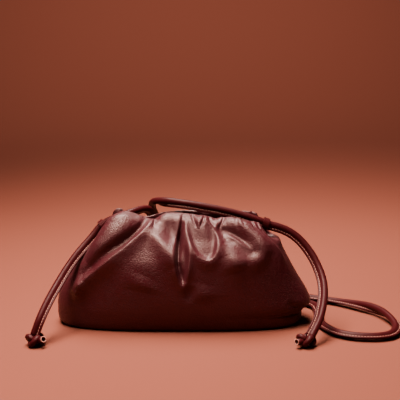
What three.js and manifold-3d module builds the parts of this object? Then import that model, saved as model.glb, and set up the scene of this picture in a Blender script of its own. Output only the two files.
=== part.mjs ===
// A soft gathered leather pouch bag that stands on its base, with a rolled leather shoulder strap.
// Millimetres, +Z up. The origin is the centre of the pouch's footprint on the floor.
// +X is the wearer's right as the front is seen, and the front faces -Y.
import * as THREE from "three";
import { mergeVertices } from "three/addons/utils/BufferGeometryUtils.js";
import Module from "manifold-3d";

const wasm = await Module();
wasm.setup();

// Driving sizes of the pouch
const BODY_WIDTH = 256;
const BODY_DEPTH = 100;
const RIM_HEIGHT = 113;
const LEATHER = 1.6;
const PLEAT_RISE = 5;
const PLEAT_WIDTH = 10;
const PLEAT_ROOM = 0.9;

// Driving sizes of the strap, its loops and knots, and the closing frame
const STRAP_DIAMETER = 8;
const LOOP_EASE = 0.7;
const LOOP_WALL = 1.1;
const LOOP_LENGTH = 6;
const LOOP_HANG = 0.3;
const KNOT_ROPE = 6.4;
const FRAME_TALL = 7;
const CLEARANCE = 0.3;

// Sizes that follow from them
const LOOP_INNER = STRAP_DIAMETER / 2 + CLEARANCE + LOOP_EASE;
const LOOP_OUTER = LOOP_INNER + LOOP_WALL;
const SLOT_HALF_GAP = LOOP_OUTER + CLEARANCE;
const FRAME_THICK = 2 * (SLOT_HALF_GAP - CLEARANCE);

// Mesh fineness
const PANEL_STEPS = 58;
const END_CROWDING = 0.7;
const STRAP_SIDES = 8;
const STRAP_STEP = 2 * STRAP_DIAMETER;
const FRAME_STEPS = 12;
const RING_SIDES = 20;

// Sections of the pouch from the floor to the rim. up is the share of the rim's height, left and right
// are shares of half the width, deep is the share of half the depth, and square is the section's exponent.
const SECTIONS = [
  { up: 0, left: 0.94, right: 0.9, deep: 0.87, square: 3 },
  { up: 0.035, left: 0.985, right: 0.935, deep: 0.93, square: 2.9 },
  { up: 0.1, left: 1, right: 0.955, deep: 0.97, square: 2.7 },
  { up: 0.19, left: 1, right: 1.015, deep: 1, square: 2.6 },
  { up: 0.3, left: 0.98, right: 0.98, deep: 0.995, square: 2.5 },
  { up: 0.42, left: 0.925, right: 0.915, deep: 0.955, square: 2.4 },
  { up: 0.55, left: 0.845, right: 0.85, deep: 0.865, square: 2.3 },
  { up: 0.68, left: 0.755, right: 0.79, deep: 0.71, square: 2.3 },
  { up: 0.8, left: 0.665, right: 0.735, deep: 0.5, square: 2.6 },
  { up: 0.9, left: 0.61, right: 0.69, deep: 0.27, square: 3.8 },
  { up: 1, left: 0.595, right: 0.655, deep: 0.12, square: 7 },
];

// Rows of the mesh, as shares of the rim's height, and rings of the flat base, as shares of its outline.
const WALL_ROWS = [
  0, 0.04, 0.095, 0.13, 0.165, 0.21, 0.3, 0.42, 0.53, 0.62, 0.7, 0.765, 0.825, 0.88, 0.925, 0.965, 1,
];
const BASE_RINGS = [0.4, 0.75];

// Gathers of each panel, from the rim down. rim, bend and tip are where the fold crosses at its top,
// middle and end, from -1 at the left end to 1 at the right end. low is the height share where it ends,
// wide and rise are shares of the pleat's width and rise (minus for a valley), hem is the share of the
// rise left at the rim, and fade is the share of the fold's length after which it dies away.
const FRONT_FOLDS = [
  { rim: -0.8, bend: -0.9, tip: -0.92, low: 0.4, wide: 1.1, rise: 0.5, hem: 0.5, fade: 0.6 },
  { rim: -0.34, bend: -0.66, tip: -0.83, low: 0.38, wide: 1.1, rise: -1.9, hem: 0.5, fade: 0.6 },
  { rim: -0.27, bend: -0.6, tip: -0.83, low: 0.3, wide: 0.55, rise: 1.1, hem: 0.6, fade: 0.75 },
  { rim: -0.16, bend: -0.08, tip: 0, low: 0.42, wide: 0.8, rise: 0.7, hem: 0.6, fade: 0.6 },
  { rim: -0.01, bend: -0.058, tip: 0, low: 0.45, wide: 0.5, rise: -1.9, hem: 0.5, fade: 0.6 },
  { rim: 0.05, bend: 0.044, tip: 0.01, low: 0.39, wide: 0.45, rise: 0.9, hem: 0.5, fade: 0.8 },
  { rim: 0.12, bend: 0.09, tip: 0.07, low: 0.2, wide: 0.8, rise: -0.5, hem: 0.3, fade: 0.4 },
  { rim: 0.21, bend: 0.235, tip: 0.22, low: 0.61, wide: 0.8, rise: -1.5, hem: 0.3, fade: 0.75 },
  { rim: 0.07, bend: 0.07, tip: 0.22, low: 0.6, wide: 0.5, rise: 0.8, hem: 0.4, fade: 0.9 },
  { rim: 0.25, bend: 0.375, tip: 0.24, low: 0.6, wide: 0.5, rise: 0.9, hem: 0.5, fade: 0.9 },
  { rim: 0.39, bend: 0.735, tip: 0.69, low: 0.59, wide: 0.7, rise: 1.1, hem: 0.5, fade: 0.85 },
  { rim: 0.34, bend: 0.56, tip: 0.67, low: 0.63, wide: 0.8, rise: -1.1, hem: 0.3, fade: 0.7 },
  { rim: 0.6, bend: 0.79, tip: 0.97, low: 0.58, wide: 0.6, rise: 0.8, hem: 0.4, fade: 0.7 },
];
const BACK_FOLDS = [
  { rim: -0.82, bend: -0.88, tip: -0.92, low: 0.38, wide: 1.3, rise: 0.8, hem: 0.5, fade: 0.6 },
  { rim: -0.58, bend: -0.7, tip: -0.8, low: 0.4, wide: 0.9, rise: -1.3, hem: 0.3, fade: 0.6 },
  { rim: -0.42, bend: -0.5, tip: -0.62, low: 0.3, wide: 0.7, rise: 0.9, hem: 0.6, fade: 0.6 },
  { rim: -0.26, bend: -0.3, tip: -0.36, low: 0.5, wide: 0.7, rise: -1.1, hem: 0.3, fade: 0.6 },
  { rim: -0.1, bend: -0.12, tip: -0.1, low: 0.35, wide: 0.7, rise: 0.7, hem: 0.6, fade: 0.6 },
  { rim: 0.06, bend: 0.05, tip: 0.08, low: 0.42, wide: 0.65, rise: -1.3, hem: 0.3, fade: 0.6 },
  { rim: 0.2, bend: 0.22, tip: 0.28, low: 0.5, wide: 0.65, rise: 0.8, hem: 0.6, fade: 0.6 },
  { rim: 0.36, bend: 0.44, tip: 0.5, low: 0.46, wide: 0.8, rise: -1.1, hem: 0.3, fade: 0.6 },
  { rim: 0.54, bend: 0.64, tip: 0.74, low: 0.34, wide: 0.8, rise: 0.9, hem: 0.6, fade: 0.6 },
  { rim: 0.72, bend: 0.8, tip: 0.88, low: 0.45, wide: 0.8, rise: -0.8, hem: 0.3, fade: 0.6 },
];

// Tucks in the two ends of the pouch. at is the height share of the tuck's middle, tall and wide are its
// half-height and half-width as shares of the pleat's width, and rise is a share of the pleat's rise.
const END_TUCKS = [
  { end: 1, at: 0.135, tall: 0.4, wide: 2.2, rise: -1.7 },
  { end: 1, at: 0.84, tall: 2.2, wide: 0.75, rise: -1.6 },
  { end: -1, at: 0.85, tall: 2.4, wide: 0.7, rise: -1.3 },
];

// The rim's height along the front and the back, as shares of the rim's height, from -1 to 1 across.
const FRONT_RIM = [
  { across: -1, high: 0.825 },
  { across: -0.97, high: 0.88 },
  { across: -0.93, high: 0.95 },
  { across: -0.76, high: 1.015 },
  { across: -0.57, high: 0.975 },
  { across: -0.44, high: 0.94 },
  { across: -0.36, high: 0.9 },
  { across: -0.28, high: 0.98 },
  { across: -0.2, high: 1.0 },
  { across: 0, high: 1.0 },
  { across: 0.4, high: 0.955 },
  { across: 0.9, high: 0.91 },
  { across: 0.945, high: 0.85 },
  { across: 1, high: 0.79 },
];
const BACK_RIM = [
  { across: -1, high: 0.825 },
  { across: -0.97, high: 0.89 },
  { across: -0.9, high: 0.99 },
  { across: -0.79, high: 1.0 },
  { across: -0.72, high: 0.93 },
  { across: -0.6, high: 0.9 },
  { across: -0.4, high: 0.91 },
  { across: -0.25, high: 0.975 },
  { across: 0, high: 0.985 },
  { across: 0.5, high: 0.98 },
  { across: 0.9, high: 0.965 },
  { across: 0.945, high: 0.855 },
  { across: 1, high: 0.79 },
];
const RIM_SHAPED_FROM = 0.72;

// Centre of each strap loop, as shares of half the width and of the rim's height, and the way the strap
// runs through it towards its knotted end.
const LOOPS = {
  left: { across: -0.634, up: 0.872, toKnot: new THREE.Vector3(-0.77, -0.24, -0.59).normalize() },
  right: { across: 0.639, up: 0.887, toKnot: new THREE.Vector3(0.94, -0.02, -0.33).normalize() },
};

// Centre line of the closing frame, in the same shares.
const FRAME_LINE = [
  { across: -0.56, up: 0.82 },
  { across: -0.47, up: 0.858 },
  { across: -0.21, up: 0.864 },
  { across: 0.04, up: 0.885 },
  { across: 0.31, up: 0.872 },
  { across: 0.485, up: 0.852 },
  { across: 0.59, up: 0.817 },
];

// Chosen points of the strap's three runs, between the loops and the knots.
const LEFT_TAIL_ROUTE = [
  [-90.2, -4.6, 89],
  [-97.5, -11, 81.1],
  [-105.2, -20, 72.8],
  [-112.5, -29.5, 63.2],
  [-115.7, -34.6, 58.6],
  [-118.5, -40, 54.1],
  [-123.7, -52, 45.4],
  [-126.1, -57.6, 41.2],
  [-128.3, -63, 37.1],
  [-132, -72, 29],
  [-135, -78, 21.5],
];
const RIGHT_TAIL_ROUTE = [
  [96.4, -0.5, 95.8],
  [106.4, -1.5, 91.4],
  [114.5, -3.5, 85.6],
  [122, -7, 77.8],
  [128.5, -12.5, 68.8],
  [133.4, -20, 59],
  [136.2, -30, 49.9],
  [136.3, -41, 42.2],
  [134.8, -51, 35],
  [132, -61, 28.1],
  [128.4, -70, 21.2],
];
const LONG_RUN_ROUTE = [
  [-61.5, 1.2, 107.4],
  [-53, 4, 110.4],
  [-40.4, 17.5, 111.6],
  [-35.8, 24, 108.8],
  [-29, 39, 95],
  [-14, 53.5, 68],
  [10, 59.5, 32],
  [25, 59.8, 17],
  [44, 58, 7.5],
  [90, 53, 4.3],
  [128, 47.5, 4.3],
  [137, 38, 4.3],
  [139.3, 24, 4.3],
  [137.2, -28, 4.3],
  [147.3, -54.5, 4.3],
  [157.5, -63.3, 4.3],
  [171, -67.6, 4.3],
  [187, -67.3, 4.3],
  [199, -60.6, 4.3],
  [209.4, -34.7, 4.8],
  [204.7, -6.5, 7.8],
  [192.5, 19, 8],
  [163, 51.5, 4.4],
  [134, 67, 4.3],
  [64, 76, 7],
  [42, 77, 15],
  [3, 73, 46],
  [-23.5, 59, 83],
  [-30.5, 49.5, 99],
  [-33, 31, 115.2],
  [-23, 14.5, 120.2],
  [-4, 5, 120],
  [22, 1, 116.4],
  [50, 0.5, 110.4],
];

// Knots: centre over the floor, how far from it the tail ends (a share of the knot's rope radius), and
// the way the cut end points, turned from +X towards -Y.
const KNOTS = {
  left: { x: -140, y: -82.5, z: 7.4, reach: 1.53, stubTurn: 0.75 },
  right: { x: 118, y: -86, z: 7.6, reach: 1.8, stubTurn: 2.85 },
};

// Colours of the leather and the frame
const LEATHER_RED = new THREE.MeshStandardMaterial({ color: 0x5a1418, roughness: 0.42, metalness: 0 });
const STRAP_RED = new THREE.MeshStandardMaterial({ color: 0x561216, roughness: 0.38, metalness: 0 });
const FRAME_RED = new THREE.MeshStandardMaterial({ color: 0x3c0e10, roughness: 0.6, metalness: 0 });

// Small helpers

function smooth(from, to, value) {
  const t = Math.min(1, Math.max(0, (value - from) / (to - from)));
  return t * t * (3 - 2 * t);
}

// The value of one column of a table at a place between its rows, along a smooth curve through them.
function between(table, key, place, column) {
  const last = table.length - 1;
  const at = Math.min(table[last][key], Math.max(table[0][key], place));
  let i = 0;
  while (i < last - 1 && at > table[i + 1][key]) i += 1;
  const a = table[i];
  const b = table[i + 1];
  const slope = (p, q) => (table[q][column] - table[p][column]) / (table[q][key] - table[p][key]);
  const own = slope(i, i + 1);
  const before = i > 0 ? slope(i - 1, i + 1) : own;
  const after = i < last - 1 ? slope(i, i + 2) : own;
  const span = b[key] - a[key];
  const t = (at - a[key]) / span;
  const rise = (t * t * (3 - 2 * t)) * (b[column] - a[column]);
  const ease = span * t * (1 - t) * ((1 - t) * before - t * after);
  return a[column] + rise + ease;
}

// Chosen points as vectors.
function route(rows) {
  return rows.map(([x, y, z]) => new THREE.Vector3(x, y, z));
}

// Pouch surface

// Half-widths, half-depth and exponent of the plain section at a height share.
function sectionAt(up) {
  const half = BODY_WIDTH / 2;
  const deep = (BODY_DEPTH / 2) * between(SECTIONS, "up", up, "deep");
  const mouth = SLOT_HALF_GAP + PLEAT_ROOM + LEATHER;
  return {
    left: half * between(SECTIONS, "up", up, "left"),
    right: half * between(SECTIONS, "up", up, "right"),
    deep: Math.max(deep, mouth),
    square: between(SECTIONS, "up", up, "square"),
  };
}

// Height of a row over the floor at a place across a panel.
function heightAt(side, across, up) {
  const rim = between(side < 0 ? FRONT_RIM : BACK_RIM, "across", across, "high");
  return RIM_HEIGHT * (up + (rim - 1) * smooth(RIM_SHAPED_FROM, 1, up));
}

// A point of the pouch before its gathers. side is -1 on the front and 1 on the back.
function plainPoint(side, across, up) {
  const section = sectionAt(up);
  const half = across < 0 ? section.left : section.right;
  const bulge = Math.pow(Math.max(0, 1 - Math.pow(Math.abs(across), section.square)), 1 / section.square);
  return new THREE.Vector3(half * across, side * section.deep * bulge, heightAt(side, across, up));
}

// Share of the mouth slot's half gap that is open at a place across, which closes in a curve at both ends.
function slotShare(across) {
  const square = SECTIONS.at(-1).square;
  return Math.pow(Math.max(0, 1 - Math.pow(Math.abs(across), square)), 1 / square);
}

// Outward direction of a surface that is given as a function of side, across and up.
function outward(surface, side, across, up) {
  const step = 0.004;
  const left = Math.max(-1, across - step);
  const right = Math.min(1, across + step);
  const low = Math.max(0, up - step);
  const high = Math.min(1, up + step);
  const along = surface(side, right, up).sub(surface(side, left, up));
  const rise = surface(side, across, high).sub(surface(side, across, low));
  return along.cross(rise).multiplyScalar(-side).normalize();
}

// How far the gathers push a point of the pouch in or out.
function gatherAt(side, across, up) {
  const section = sectionAt(up);
  const half = across < 0 ? section.left : section.right;
  let push = 0;
  for (const fold of side < 0 ? FRONT_FOLDS : BACK_FOLDS) {
    const along = (1 - up) / (1 - fold.low);
    if (along > 1) continue;
    const first = fold.rim + (fold.bend - fold.rim) * along * 2;
    const second = fold.bend + (fold.tip - fold.bend) * (along * 2 - 1);
    const path = first + (second - first) * smooth(0.25, 0.75, along);
    const away = ((across - path) * half) / (fold.wide * PLEAT_WIDTH);
    const swell = fold.hem + (1 - fold.hem) * smooth(0, 0.35, along);
    push += fold.rise * PLEAT_RISE * Math.exp(-away * away) * swell * smooth(1, fold.fade, along);
  }
  return push;
}

// How far the tucks in the ends push a point in, which is the same from the front and the back.
function tuckAt(point, across, up) {
  let push = 0;
  for (const tuck of END_TUCKS) {
    const level = ((up - tuck.at) * RIM_HEIGHT) / (tuck.tall * PLEAT_WIDTH);
    const away = point.y / (tuck.wide * PLEAT_WIDTH);
    const near = smooth(0.55, 0.9, across * tuck.end);
    push += tuck.rise * PLEAT_RISE * Math.exp(-level * level - away * away) * near;
  }
  return push;
}

// A point of the pouch's outer face.
function outerPoint(side, across, up) {
  const point = plainPoint(side, across, up);
  const away = outward(plainPoint, side, across, up);
  const gathers = gatherAt(side, across, up) * smooth(1, 0.93, Math.abs(across));
  const rimEase = 1 - 0.75 * smooth(0.9, 1, up);
  const push = gathers + tuckAt(point, across, up) * rimEase;
  point.addScaledVector(away, push * smooth(0, 0.1, up));
  const least = (SLOT_HALF_GAP + LEATHER) * slotShare(across);
  if (side * point.y < least) point.y = side * least;
  return point;
}

// A point of the inner face, one leather thickness inside the outer one.
function innerPoint(side, across, up) {
  const point = outerPoint(side, across, up);
  const away = outward(outerPoint, side, across, up);
  return point.addScaledVector(away, -LEATHER);
}

// Columns run along the front from left to right, then back along the back panel.
function columns() {
  const found = [];
  for (let i = 0; i < PANEL_STEPS * 2; i += 1) {
    const side = i < PANEL_STEPS ? -1 : 1;
    const turn = i < PANEL_STEPS ? i / PANEL_STEPS : 2 - i / PANEL_STEPS;
    const place = 2 * turn - 1;
    const crowded = Math.sin((Math.PI / 2) * place);
    found.push({ side, across: place + END_CROWDING * (crowded - place) });
  }
  return found;
}

// A closed mesh from a list of points and a list of faces.
function meshOf(points, faces) {
  const geometry = new THREE.BufferGeometry();
  const flat = points.flatMap((p) => [p.x, p.y, p.z]);
  geometry.setAttribute("position", new THREE.Float32BufferAttribute(flat, 3));
  geometry.setIndex(faces);
  return geometry;
}

// One skin of the pouch as rows of points: the base's middle, the base's rings, then the wall's rows.
function skinRows(pointAt, floor) {
  const around = columns();
  const wall = WALL_ROWS.map((up) => around.map((c) => pointAt(c.side, c.across, up)));
  wall[0].forEach((p) => (p.z = floor));
  const rings = BASE_RINGS.map((share) =>
    wall[0].map((p) => new THREE.Vector3(p.x * share, p.y * share, floor)));
  return [[new THREE.Vector3(0, 0, floor)], ...rings, ...wall];
}

// The hollow leather pouch, open along its mouth.
function pouchBody() {
  const outer = skinRows(outerPoint, 0);
  const inner = skinRows(innerPoint, LEATHER);
  const count = outer[1].length;
  const points = [];
  const faces = [];
  const startOf = (rows) => rows.map((row) => {
    const start = points.length;
    points.push(...row);
    return start;
  });
  const outerStart = startOf(outer);
  const innerStart = startOf(inner);
  const face = (a, b, c, flip) => faces.push(a, flip ? c : b, flip ? b : c);
  for (const [starts, flip] of [[outerStart, false], [innerStart, true]]) {
    for (let j = 0; j < count; j += 1) {
      const next = (j + 1) % count;
      face(starts[0], starts[1] + next, starts[1] + j, flip);
      for (let r = 1; r < starts.length - 1; r += 1) {
        const [low, high] = [starts[r], starts[r + 1]];
        face(low + j, low + next, high + next, flip);
        face(low + j, high + next, high + j, flip);
      }
    }
  }
  const [outerRim, innerRim] = [outerStart.at(-1), innerStart.at(-1)];
  for (let j = 0; j < count; j += 1) {
    const next = (j + 1) % count;
    face(outerRim + j, outerRim + next, innerRim + next, false);
    face(outerRim + j, innerRim + next, innerRim + j, false);
  }
  return fitWidth(meshOf(points, faces));
}

// The same mesh with its two ends at exactly half the driving width from the middle.
function fitWidth(geometry) {
  geometry.computeBoundingBox();
  const { min, max } = geometry.boundingBox;
  geometry.translate(-(min.x + max.x) / 2, -(min.y + max.y) / 2, 0);
  return geometry.scale(BODY_WIDTH / (max.x - min.x), BODY_DEPTH / (max.y - min.y), 1);
}

// A point in the pouch's middle plane, from shares of half the width and of the rim's height.
function inMiddle({ across, up }) {
  return new THREE.Vector3((across * BODY_WIDTH) / 2, 0, up * RIM_HEIGHT);
}

// Closing frame

// The stiff bar inside the mouth, which the rim is gathered over.
function closingFrame() {
  const path = new THREE.CatmullRomCurve3(FRAME_LINE.map(inMiddle));
  const outline = new THREE.Shape();
  outline.absellipse(0, 0, FRAME_THICK / 2, FRAME_TALL / 2, 0, Math.PI * 2);
  return new THREE.ExtrudeGeometry(outline, {
    steps: FRAME_STEPS,
    curveSegments: 3,
    extrudePath: path,
    bevelEnabled: false,
  });
}

// Strap

function roundShape(radius, sides) {
  const shape = new THREE.Shape();
  for (let i = 0; i < sides; i += 1) {
    const turn = ((i + 0.5) / sides) * Math.PI * 2;
    const [x, y] = [radius * Math.cos(turn), radius * Math.sin(turn)];
    if (i === 0) shape.moveTo(x, y);
    else shape.lineTo(x, y);
  }
  shape.closePath();
  return shape;
}

function strapAlong(points) {
  const path = new THREE.CatmullRomCurve3(points, false, "centripetal");
  path.arcLengthDivisions = 1000;
  const steps = Math.round(path.getLength() / STRAP_STEP);
  const section = roundShape(STRAP_DIAMETER / 2, STRAP_SIDES);
  return new THREE.ExtrudeGeometry(section, { steps, extrudePath: path, bevelEnabled: false });
}

// Points on the strap's straight line outward from a loop's middle, towards the knot (1) or away (-1).
function throughLoop(name, way) {
  const loop = LOOPS[name];
  return [CLEARANCE / 2, LOOP_LENGTH * 0.5, LOOP_LENGTH * 0.8].map((distance) =>
    inMiddle(loop).addScaledVector(loop.toKnot, way * distance));
}

// Where a tail ends, just clear of its knot.
function knotEntry(name, lastPoint) {
  const knot = KNOTS[name];
  const centre = new THREE.Vector3(knot.x, knot.y, knot.z);
  const back = lastPoint.clone().sub(centre).normalize();
  return centre.addScaledVector(back, (knot.reach * KNOT_ROPE) / 2);
}

function strapTail(name, rows) {
  const points = route(rows);
  const end = knotEntry(name, points.at(-1));
  return strapAlong([...throughLoop(name, 1), ...points, end]);
}

function longRun() {
  const start = throughLoop("left", -1);
  const end = throughLoop("right", -1).reverse();
  return strapAlong([...start, ...route(LONG_RUN_ROUTE), ...end]);
}

// The leather ring at a corner that the strap runs through.
function strapLoop(name) {
  const half = LOOP_LENGTH / 2;
  const [inner, outer] = [LOOP_INNER, LOOP_OUTER];
  const outline = [[inner, -half], [outer, -half], [outer, half], [inner, half], [inner, -half]];
  const ring = new THREE.LatheGeometry(outline.map(([r, h]) => new THREE.Vector2(r, h)), RING_SIDES);
  const turn = new THREE.Quaternion().setFromUnitVectors(new THREE.Vector3(0, 1, 0), LOOPS[name].toKnot);
  return ring.applyQuaternion(turn);
}

// Knots

function solidOf(geometry) {
  const bare = geometry.index ? geometry.toNonIndexed() : geometry.clone();
  bare.deleteAttribute("normal");
  bare.deleteAttribute("uv");
  const merged = mergeVertices(bare, 1e-4);
  const mesh = new wasm.Mesh({
    numProp: 3,
    vertProperties: merged.attributes.position.array,
    triVerts: new Uint32Array(merged.index.array),
  });
  return new wasm.Manifold(mesh);
}

function geometryOf(solid) {
  const mesh = solid.getMesh();
  const geometry = new THREE.BufferGeometry();
  geometry.setAttribute("position", new THREE.BufferAttribute(mesh.vertProperties, 3));
  geometry.setIndex(new THREE.BufferAttribute(mesh.triVerts, 1));
  return geometry;
}

// A knot: one wrap square to the strap, one wrap that crosses it, and the cut end that sticks out.
function knot(name, lastPoint) {
  const place = KNOTS[name];
  const centre = new THREE.Vector3(place.x, place.y, place.z);
  const along = centre.clone().sub(lastPoint).normalize();
  const rope = KNOT_ROPE / 2;
  const lean = new THREE.Quaternion().setFromUnitVectors(new THREE.Vector3(0, 0, 1), along);
  const wrap = new THREE.TorusGeometry(rope * 1.45, rope, 6, 12).applyQuaternion(lean);
  const cross = new THREE.TorusGeometry(rope * 1.2, rope * 0.95, 6, 10).rotateX(1.15).applyQuaternion(lean);
  const stub = new THREE.CylinderGeometry(rope * 0.9, rope, rope * 3.4, 10).rotateZ(Math.PI / 2);
  stub.translate(rope * 2, 0, 0).rotateZ(-place.stubTurn);
  stub.translate(0, 0, -rope * 0.6);
  const core = new THREE.SphereGeometry(rope * 1.3, 8, 5);
  const bound = [cross, stub, core].reduce((whole, piece) => whole.add(solidOf(piece)), solidOf(wrap));
  const geometry = geometryOf(bound);
  geometry.translate(place.x, place.y, place.z);
  geometry.computeBoundingBox();
  return geometry.translate(0, 0, -geometry.boundingBox.min.z);
}

// Assembly

function named(name, geometry, material) {
  const mesh = new THREE.Mesh(geometry, material);
  mesh.name = name;
  return mesh;
}

const bag = new THREE.Group();
bag.add(named("pouch_body", pouchBody(), LEATHER_RED));
bag.add(named("closing_frame", closingFrame(), FRAME_RED));
for (const name of ["left", "right"]) {
  const ring = named(`strap_loop_${name}`, strapLoop(name), STRAP_RED);
  ring.position.copy(inMiddle(LOOPS[name]));
  ring.position.z -= LOOP_HANG;
  const rows = name === "left" ? LEFT_TAIL_ROUTE : RIGHT_TAIL_ROUTE;
  const tail = named(`strap_tail_${name}`, strapTail(name, rows), STRAP_RED);
  const bind = named(`strap_knot_${name}`, knot(name, route(rows).at(-1)), STRAP_RED);
  bag.add(ring, tail, bind);
}
bag.add(named("strap_long_run", longRun(), STRAP_RED));

export default bag;
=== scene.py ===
# %% [markdown]
# A gathered pouch bag with a rolled strap.
# The bag is a soft leather pouch whose top is drawn together over a hidden bar. A rolled and stitched
# leather strap runs through a small ring at each end of the mouth and is held by a knot below each ring.
# The solids that carry all this come ready made. This script dresses them: it makes the leather's real
# folds, the strap's sewn edge, the knots and the finish of every surface.

# %% Load the fixed frame
import math

import bmesh
import bpy
import numpy as np
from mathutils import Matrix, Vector


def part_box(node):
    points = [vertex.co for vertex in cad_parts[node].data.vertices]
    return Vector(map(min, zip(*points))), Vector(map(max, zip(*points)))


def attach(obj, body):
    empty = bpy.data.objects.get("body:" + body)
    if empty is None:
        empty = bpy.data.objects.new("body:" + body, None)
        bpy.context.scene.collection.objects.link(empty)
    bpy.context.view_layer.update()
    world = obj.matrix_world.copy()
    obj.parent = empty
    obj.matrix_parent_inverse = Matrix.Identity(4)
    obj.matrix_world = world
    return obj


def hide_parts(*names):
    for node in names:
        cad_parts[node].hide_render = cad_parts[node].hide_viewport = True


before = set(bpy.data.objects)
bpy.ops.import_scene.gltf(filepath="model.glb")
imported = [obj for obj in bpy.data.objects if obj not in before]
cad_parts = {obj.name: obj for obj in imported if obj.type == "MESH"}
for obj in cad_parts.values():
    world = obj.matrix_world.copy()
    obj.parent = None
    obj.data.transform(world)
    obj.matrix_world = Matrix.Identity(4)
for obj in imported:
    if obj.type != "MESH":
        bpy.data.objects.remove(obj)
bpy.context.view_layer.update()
MM = 0.001
print("solids:", sorted(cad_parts))

# %% [markdown]
# The camera stands where the photograph was taken from: straight in front of the bag, a little above
# it, with a long lens, so that the pouch shows no strong perspective. It is made first, because the
# folds of the front below are placed through its view.

# %% Camera
CAMERA_TARGET = Vector((0.016, 0, 0.124))
CAMERA_DISTANCE = 0.9444
CAMERA_ELEVATION = math.radians(10)
LENS = 85
SENSOR = 36

camera_data = bpy.data.cameras.new("camera")
camera_data.lens = LENS
camera_data.sensor_width = SENSOR
camera_data.clip_start = 0.01
camera = bpy.data.objects.new("camera", camera_data)
bpy.context.scene.collection.objects.link(camera)
towards_camera = Vector((0, -math.cos(CAMERA_ELEVATION), math.sin(CAMERA_ELEVATION)))
camera.location = CAMERA_TARGET + towards_camera * CAMERA_DISTANCE
camera.rotation_euler = (-towards_camera).to_track_quat("-Z", "Y").to_euler()
bpy.context.scene.camera = camera
print("camera:", CAMERA_DISTANCE, "m from its target, with a lens of", LENS, "mm")

# %% [markdown]
# Every mesh here is built from rows of points, so one helper turns a grid of points into a mesh. The
# grid may close on itself around each row, as a tube does, and its ends may be capped.

# %% Helpers for meshes
def new_piece(name, points, faces, material):
    mesh = bpy.data.meshes.new(name)
    mesh.from_pydata([tuple(p) for p in points], [], [tuple(int(i) for i in f) for f in faces])
    mesh.update()
    mesh.polygons.foreach_set("use_smooth", [True] * len(mesh.polygons))
    mesh.materials.append(material)
    piece = bpy.data.objects.new(name, mesh)
    bpy.context.scene.collection.objects.link(piece)
    return piece


def grid_faces(rows, columns, start=0):
    """Quads between rows of points that close on themselves, each row following the last."""
    faces = []
    for r in range(rows - 1):
        low, high = start + r * columns, start + (r + 1) * columns
        for c in range(columns):
            d = (c + 1) % columns
            faces.append((low + c, low + d, high + d, high + c))
    return faces


def between(table, column, place):
    """One column of a table at places between its rows, on a smooth curve through them.
    The table's first column is the place."""
    rows = np.array([[row[0], row[column]] for row in table], float)
    x, y = rows[:, 0], rows[:, 1]
    at = np.clip(place, x[0], x[-1])
    i = np.clip(np.searchsorted(x, at, side="right") - 1, 0, len(x) - 2)
    slope = np.concatenate([
        [(y[1] - y[0]) / (x[1] - x[0])],
        (y[2:] - y[:-2]) / (x[2:] - x[:-2]),
        [(y[-1] - y[-2]) / (x[-1] - x[-2])],
    ])
    span = x[i + 1] - x[i]
    t = (at - x[i]) / span
    rise = t * t * (3 - 2 * t) * (y[i + 1] - y[i])
    return y[i] + rise + span * t * (1 - t) * ((1 - t) * slope[i] - t * slope[i + 1])


def smooth(low, high, value):
    t = np.clip((value - low) / (high - low), 0, 1)
    return t * t * (3 - 2 * t)


def unit(vectors):
    return vectors / np.maximum(np.linalg.norm(vectors, axis=-1, keepdims=True), 1e-12)


# %% [markdown]
# Leather isn't one flat colour. Its grain is a net of small pebbles with creases between them, which
# break up every highlight, and painted shade makes the colour a little darker in the creases. Pictures of
# real leather could be wrapped round each piece, but they stretch and show seams on a gathered form. So
# every leather here is made of Blender's own textures. They read Object coordinates, so they stay fixed to
# the piece and keep their real size of about a millimetre. The colour and its painted shade come first.

# %% Dye and painted shade in the creases
def dyed_and_crease_shaded(nodes, links, pebbles, blotches, colour, dark):
    """The colour, with painted shade: darker away from the middle of each pebble, and more so in some
    patches.
    """
    # Painted shade: the colour turns to the darker one towards the creases between the pebbles, by more in
    # some patches.
    dye_and_crease_shade = nodes.new("ShaderNodeMix")
    dye_and_crease_shade.data_type = "RGBA"
    dye_and_crease_shade.inputs["A"].default_value = (*colour, 1)
    dye_and_crease_shade.inputs["B"].default_value = (*dark, 1)
    shade = nodes.new("ShaderNodeMath")
    shade.operation = "MULTIPLY"
    links.new(pebbles.outputs["Distance"], shade.inputs[0])
    links.new(blotches.outputs["Fac"], shade.inputs[1])
    links.new(shade.outputs[0], dye_and_crease_shade.inputs["Factor"])
    return dye_and_crease_shade.outputs["Result"]


# %% [markdown]
# Handling polishes leather unevenly. One even roughness would give smooth plastic highlights. Here the
# roughness drifts from patch to patch, and each pebble is a little glossier or duller than the next, which
# gives a highlight the fine sparkle of real grain.

# %% Polish
BLOTCHES_FROM = 0.3
BLOTCHES_TO = 0.7
POLISHED = 0.05
DULLED = 0.07


def polished(nodes, links, pebbles, blotches, roughness, sparkle):
    polish = nodes.new("ShaderNodeMapRange")
    polish.inputs["From Min"].default_value = BLOTCHES_FROM
    polish.inputs["From Max"].default_value = BLOTCHES_TO
    polish.inputs["To Min"].default_value = roughness - POLISHED
    polish.inputs["To Max"].default_value = roughness + DULLED
    links.new(blotches.outputs["Fac"], polish.inputs["Value"])
    cell = nodes.new("ShaderNodeSeparateColor")
    links.new(pebbles.outputs["Color"], cell.inputs["Color"])
    worn = nodes.new("ShaderNodeMapRange")
    worn.inputs["To Min"].default_value = -sparkle
    worn.inputs["To Max"].default_value = sparkle
    links.new(cell.outputs["Red"], worn.inputs["Value"])
    gloss = nodes.new("ShaderNodeMath")
    links.new(polish.outputs["Result"], gloss.inputs[0])
    links.new(worn.outputs["Result"], gloss.inputs[1])
    return gloss.outputs[0]


# %% [markdown]
# The relief of the grain is far too fine for mesh, so bump nodes tilt the light instead: tiny pores, then
# the pebbles, and on the strap also the soft creases of leather that is bent every day.

# %% Relief
PORE_STRENGTH = 0.25
PORE_DEPTH = 0.08
CREASE_SCALE = 160
CREASE_DETAIL = 4
CREASE_SWIRL = 0.6


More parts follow.
